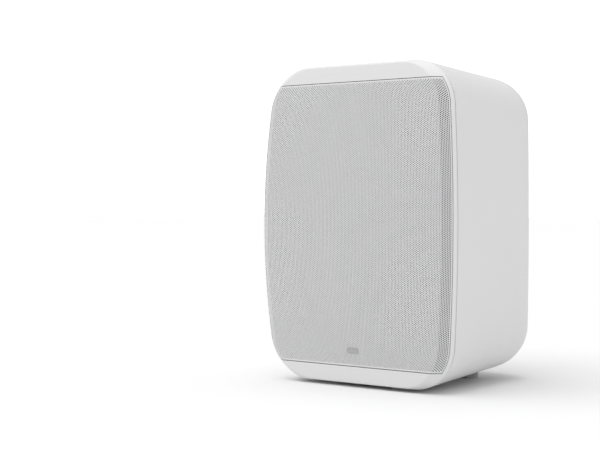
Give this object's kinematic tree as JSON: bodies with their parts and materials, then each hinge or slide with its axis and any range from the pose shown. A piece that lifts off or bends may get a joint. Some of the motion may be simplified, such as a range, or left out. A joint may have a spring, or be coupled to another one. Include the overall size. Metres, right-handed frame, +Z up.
{
  "type": "bookshelf speaker",
  "caption": "Active bookshelf speaker with a crowned front, wrap-round perforated grille, rounded back, recessed connection panels and a round rear mounting disc.",
  "frame": {"origin": "middle of the footprint's bounding box, on the plane that the feet stand on", "axes": "+X to the right of someone who faces the grille, the grille faces -Y, +Z up"},
  "size_m": [0.18, 0.177, 0.242],
  "materials": {
    "cabinet": "fine satin moulded white",
    "grille_steel": "light grey powder coat, finely perforated",
    "badge": "satin",
    "seal": "matt",
    "foot_rubber": "matt",
    "gasket_grey": "matt light grey",
    "screw_steel": "zinc plated",
    "black_screw": "black oxide",
    "bare_steel": "nickel plated",
    "basket": "satin black",
    "cone_paper": "coated pulp",
    "copper": "enamelled copper wire",
    "spider_cloth": "resin-treated cloth",
    "ferrite": "ground ferrite",
    "faceplate": "satin black",
    "dome_silk": "doped silk",
    "panel_black": "satin black",
    "knob_black": "satin black",
    "switch_red": "satin red",
    "lever_white": "satin",
    "lever_dark": "satin",
    "led_red": "clear red epoxy",
    "gold_plate": "gold plated",
    "antenna_rubber": "semi-gloss black sleeve",
    "inlet_black": "black",
    "fuse_glass": "clear with metal caps",
    "insert_dark": "dark oxidised",
    "circuit_board": "green solder mask",
    "transformer_tape": "yellow tape over ferrite",
    "heat_sink_aluminium": "extruded",
    "capacitor_sleeve": "shrink sleeve",
    "shield_can": "tinned",
    "wire_red": "insulated wire",
    "wadding": "polyester fibre"
  },
  "bodies": {
    "cabinet": {"cabinet_shell": "cabinet", "front_baffle": "cabinet", "mount_disc": "cabinet", "baffle_gasket": "gasket_grey", "feet": "foot_rubber", "baffle_screws": "screw_steel", "woofer_screws": "screw_steel", "tweeter_screws": "screw_steel", "board_screws": "screw_steel", "power_panel_screws": "black_screw", "grille_magnets": "bare_steel", "woofer_basket": "basket", "woofer_surround": "seal", "woofer_spider": "spider_cloth", "woofer_magnet": "ferrite", "woofer_pole_piece": "bare_steel", "woofer_top_plate": "bare_steel", "tweeter_faceplate": "faceplate", "tweeter_surround": "seal", "tweeter_magnet": "ferrite", "control_panel": "panel_black", "power_panel": "panel_black", "fuse_holder": "knob_black", "potentiometer": "bare_steel", "upper_switch_block": "switch_red", "lower_switch_block": "switch_red", "status_led": "led_red", "aux_jack": "knob_black", "antenna_connector": "gold_plate", "mains_inlet": "inlet_black", "inlet_pins": "bare_steel", "bracket_inserts": "insert_dark", "stand_insert": "insert_dark", "tripod_insert": "insert_dark", "control_board": "circuit_board", "amplifier_board": "circuit_board", "power_board": "circuit_board", "transformer": "transformer_tape", "heat_sink": "heat_sink_aluminium", "capacitors": "capacitor_sleeve", "wireless_module": "shield_can", "speaker_wires": "wire_red", "damping_wadding": "wadding"},
    "grille_panel": {"grille": "grille_steel", "grille_badge": "badge"},
    "woofer_diaphragm": {"woofer_cone": "cone_paper", "woofer_dust_cap": "cone_paper", "woofer_voice_coil": "copper"},
    "tweeter_diaphragm": {"tweeter_dome": "dome_silk", "tweeter_voice_coil": "copper"},
    "volume_control": {"volume_knob": "knob_black", "potentiometer_shaft": "bare_steel"},
    "upper_lever_1": {"upper_switch_lever_1": "lever_white"},
    "upper_lever_2": {"upper_switch_lever_2": "lever_white"},
    "lower_lever_1": {"lower_switch_lever_1": "lever_dark"},
    "lower_lever_2": {"lower_switch_lever_2": "lever_dark"},
    "antenna_core": {"antenna_contact": "gold_plate"},
    "antenna_sleeve": {"antenna": "antenna_rubber"},
    "fuse_link": {"fuse": "fuse_glass"},
    "fuse_top": {"fuse_cap": "knob_black"}
  },
  "joints": [
    {"name": "grille_pull", "type": "slide", "parent": "cabinet", "child": "grille_panel", "axis": [0, -1, 0], "range_m": [0, 0.03]},
    {"name": "woofer_stroke", "type": "slide", "parent": "cabinet", "child": "woofer_diaphragm", "axis": [0, -1, 0], "range_m": [-0.004, 0.004], "stiffness_N_per_m": 1200, "deforming": ["woofer_surround", "woofer_spider"]},
    {"name": "tweeter_stroke", "type": "slide", "parent": "cabinet", "child": "tweeter_diaphragm", "axis": [0, -1, 0], "range_m": [-0.0004, 0.0004], "stiffness_N_per_m": 300, "deforming": ["tweeter_surround"]},
    {"name": "volume_turn", "type": "hinge", "parent": "cabinet", "child": "volume_control", "pos_m": [0, 0.0585, 0.1887], "axis": [0, 1, 0], "range_deg": [-150, 150]},
    {"name": "upper_slide_1", "type": "slide", "parent": "cabinet", "child": "upper_lever_1", "axis": [0, 0, 1], "range_m": [0, 0.0032]},
    {"name": "upper_slide_2", "type": "slide", "parent": "cabinet", "child": "upper_lever_2", "axis": [0, 0, 1], "range_m": [0, 0.0032]},
    {"name": "lower_slide_1", "type": "slide", "parent": "cabinet", "child": "lower_lever_1", "axis": [0, 0, 1], "range_m": [0, 0.0032]},
    {"name": "lower_slide_2", "type": "slide", "parent": "cabinet", "child": "lower_lever_2", "axis": [0, 0, 1], "range_m": [0, 0.0032]},
    {"name": "antenna_advance", "type": "slide", "parent": "cabinet", "child": "antenna_core", "axis": [0, 1, 0], "range_m": [0, 0.004]},
    {"name": "antenna_turn", "type": "hinge", "parent": "antenna_core", "child": "antenna_sleeve", "pos_m": [0.0335, 0.07, 0.176], "axis": [0, 1, 0], "range_deg": [0, 2040]},
    {"name": "fuse_pull", "type": "slide", "parent": "cabinet", "child": "fuse_link", "axis": [0, 1, 0], "range_m": [0, 0.03]},
    {"name": "fuse_cap_turn", "type": "hinge", "parent": "fuse_link", "child": "fuse_top", "pos_m": [-0.0205, 0.054, 0.0656], "axis": [0, 1, 0], "range_deg": [0, 45]}
  ],
  "couplings": [
    {"joint": "antenna_turn", "follows": "antenna_advance", "rad_per_m": 8900}
  ]
}
